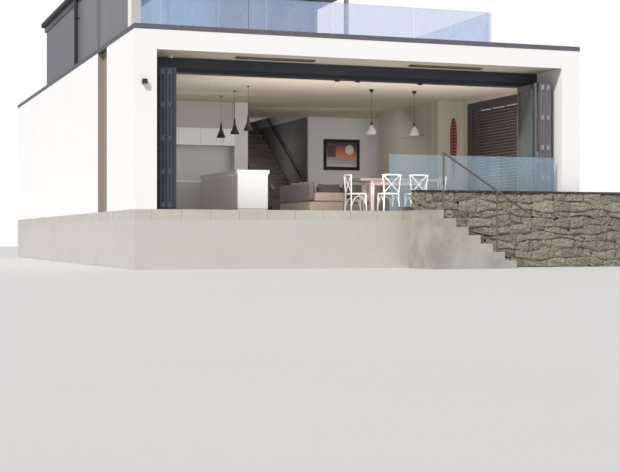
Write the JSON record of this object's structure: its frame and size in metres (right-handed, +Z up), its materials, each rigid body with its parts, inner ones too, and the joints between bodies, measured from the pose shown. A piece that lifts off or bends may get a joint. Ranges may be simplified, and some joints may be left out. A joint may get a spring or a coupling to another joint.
{
  "type": "beach house",
  "caption": "Two-storey modern beach house with a white front frame, folded-back glass doors, an open living room and a glass-railed deck above.",
  "frame": {"origin": "middle of the footprint's box, at the lowest ground the base walls stand on", "axes": "+X along the garden front from its left end, +Y from the garden front towards the rear, +Z up"},
  "size_m": [11.505, 19.23, 7.53],
  "materials": {
    "white_render": "smooth white render",
    "base_render": "rough grey render",
    "concrete": "honed concrete",
    "rubble_stone": "rough grey-brown stone courses",
    "ceiling_paint": "flat ceiling paint",
    "deck_tile": "large pale floor tiles",
    "capping_metal": "folded metal capping",
    "door_metal": "charcoal powder coat",
    "bright_metal": "satin metal",
    "clear_glass": "clear pale green-blue glass",
    "channel_metal": "anodised channel",
    "rail_metal": "dark metal rail",
    "slot_paint": "taupe panel",
    "dark_cladding": "dark grey sheet cladding",
    "upper_paint": "grey-brown paint",
    "glazing_metal": "pale grey powder coat",
    "roof_metal": "sheet metal roof",
    "gutter_metal": "blue-black gutter",
    "shutter_wood": "dark stained louvres",
    "kitchen_paint": "gloss lacquer",
    "room_paint": "pale wall paint",
    "dark_paint": "dark grey wall paint",
    "stair_wood": "dark stained timber",
    "joinery_lacquer": "taupe lacquered panels",
    "picture_print": "black frame with an abstract print",
    "carved_wood": "carved reddish-brown wood",
    "black_shade": "satin black shade",
    "glass_shade": "clear ribbed glass shade",
    "table_wood": "pale timber top on timber legs",
    "chair_paint": "white painted timber",
    "sofa_fabric": "woven taupe fabric",
    "fitting_metal": "small fittings"
  },
  "bodies": {
    "root": {"front_piers": "white_render", "front_header": "white_render", "left_wall": "white_render", "right_wall": "white_render", "rear_wall": "white_render", "upper_blade_wall": "white_render", "base_walls": "base_render", "floor_slab": "concrete", "garden_steps": "concrete", "stone_wall": "rubble_stone", "first_floor_slab": "ceiling_paint", "deck_paving": "deck_tile", "parapet_capping": "capping_metal", "door_head_beam": "door_metal", "left_door_leaves": "door_metal", "right_door_leaves": "door_metal", "door_hardware": "bright_metal", "door_glass": "clear_glass", "balustrade_glass": "clear_glass", "window_glass": "clear_glass", "glass_channels": "channel_metal", "steps_rail": "rail_metal", "stair_rail": "rail_metal", "side_slot_panel": "slot_paint", "upper_left_wall": "dark_cladding", "upper_inner_walls": "upper_paint", "window_frames": "glazing_metal", "upper_roof": "roof_metal", "roof_drainage": "gutter_metal", "louvred_shutter": "shutter_wood", "kitchen_units": "kitchen_paint", "kitchen_island": "kitchen_paint", "picture_wall": "room_paint", "stair_wall": "dark_paint", "stair_flight": "stair_wood", "joinery_wall": "joinery_lacquer", "framed_picture": "picture_print", "wall_board": "carved_wood", "cone_lamps": "black_shade", "glass_lamps": "glass_shade", "dining_table": "table_wood", "dining_chairs": "chair_paint", "sofa": "sofa_fabric", "sofa_cushions": "sofa_fabric", "porch_fittings": "fitting_metal"}
  },
  "joints": []
}
